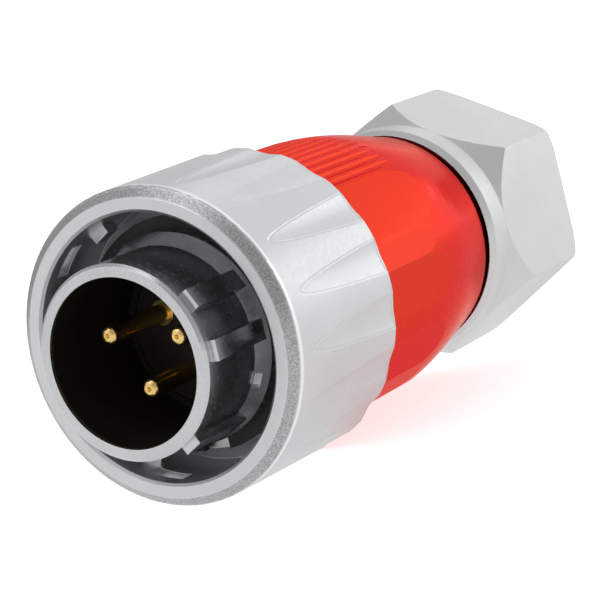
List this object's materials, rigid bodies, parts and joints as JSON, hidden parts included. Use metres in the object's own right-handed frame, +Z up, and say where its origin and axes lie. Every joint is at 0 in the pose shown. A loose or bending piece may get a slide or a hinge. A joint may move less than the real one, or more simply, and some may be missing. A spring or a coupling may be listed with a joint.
{
  "type": "push-pull circular power connector plug",
  "caption": "Cable plug of a push-pull circular power connector: fluted coupling sleeve, keyed barrel round recessed pins, red back shell and a hexagonal clamp nut.",
  "frame": {"origin": "centre of the barrel's front rim, on the connector's axis", "axes": "+Y along the axis from the mating end to the clamp nut, +Z up as the part lies, +X to the right of somebody who looks along +Y"},
  "size_m": [0.0336, 0.0755, 0.0334],
  "materials": {
    "shell_metal": "bright nickel plate, turned",
    "satin_metal": "satin nickel plate",
    "nut_metal": "light satin nickel plate",
    "red_gloss": "glossy red",
    "gold_plate": "gold plate on brass",
    "dark_insulator": "brown-black moulded resin",
    "black_rubber": "moulded silicone rubber",
    "white_plastic": "natural nylon",
    "plain_brass": "turned brass",
    "spring_steel": "drawn stainless steel",
    "black_steel": "phosphated spring steel"
  },
  "bodies": {
    "plug_body": {"plug_shell": "shell_metal", "sleeve_stop_ring": "black_steel", "spring_washer": "spring_steel", "sleeve_spring": "spring_steel", "front_insulator": "dark_insulator", "rear_insulator": "dark_insulator", "insulator_lock_ring": "shell_metal", "insulator_o_ring": "black_rubber", "contact_pin_1": "gold_plate", "contact_pin_2": "gold_plate", "contact_pin_3": "gold_plate", "wire_screws": "spring_steel", "body_gasket": "black_rubber", "back_shell": "red_gloss", "gland_seal": "black_rubber", "gland_washer": "white_plastic", "clamp_claw": "white_plastic"},
    "sleeve": {"coupling_sleeve": "satin_metal"},
    "cone_ring": {"clamp_cone_ring": "plain_brass"},
    "nut": {"clamp_nut": "nut_metal"}
  },
  "joints": [
    {"name": "sleeve_pull", "type": "slide", "parent": "plug_body", "child": "sleeve", "axis": [0, 1, 0], "range_m": [0, 0.003], "stiffness_N_per_m": 2500, "springref_m": -0.0024, "deforming": ["sleeve_spring"]},
    {"name": "nut_travel", "type": "slide", "parent": "plug_body", "child": "cone_ring", "axis": [0, 1, 0], "range_m": [0, 0.006]},
    {"name": "nut_turn", "type": "hinge", "parent": "cone_ring", "child": "nut", "pos_m": [0, 0.0653, 0], "axis": [0, 1, 0], "range_deg": [0, 1440.5]}
  ],
  "couplings": [
    {"joint": "nut_turn", "follows": "nut_travel", "rad_per_m": 4188.8}
  ]
}
